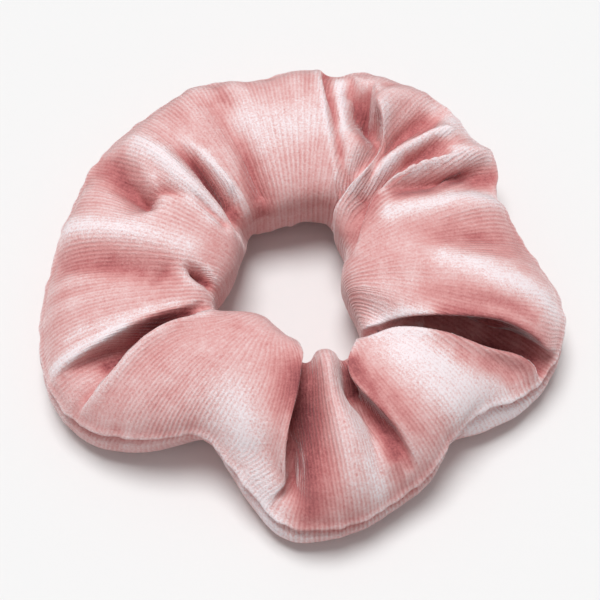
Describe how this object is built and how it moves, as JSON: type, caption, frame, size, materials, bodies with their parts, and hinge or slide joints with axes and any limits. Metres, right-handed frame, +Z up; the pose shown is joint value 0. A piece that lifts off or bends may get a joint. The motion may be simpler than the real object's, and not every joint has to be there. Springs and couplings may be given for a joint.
{
  "type": "scrunchie",
  "caption": "Gathered ring of ribbed pink velvet round a loop of braided elastic, for holding a ponytail; lies flat when relaxed.",
  "frame": {"origin": "centre of the hole at the level of the surface that the ring lies on", "axes": "+Z up out of the hole, +X to the right and +Y away from the viewer of the pictured side"},
  "size_m": [0.109, 0.109, 0.026],
  "materials": {
    "velvet": "ribbed stretch velvet, short glossy pile",
    "sewing_thread": "spun polyester thread",
    "elastic_braid": "braided white polyester",
    "latex_rubber": "natural latex",
    "band_thread": "white spun polyester thread"
  },
  "bodies": {
    "cover": {"velvet_cover": "velvet", "rim_seam_needle_thread": "sewing_thread", "rim_seam_bobbin_thread": "sewing_thread", "end_seam_needle_thread": "sewing_thread", "end_seam_bobbin_thread": "sewing_thread", "gap_closing_thread": "sewing_thread"},
    "band": {"elastic_braid": "elastic_braid", "elastic_rubber_strands": "latex_rubber", "band_lap_needle_thread": "band_thread", "band_lap_bobbin_thread": "band_thread"}
  },
  "joints": [
    {"name": "band_creep", "type": "hinge", "parent": "cover", "child": "band", "pos_m": [0, 0, 0.01], "axis": [0, 0, 1], "continuous": true}
  ]
}
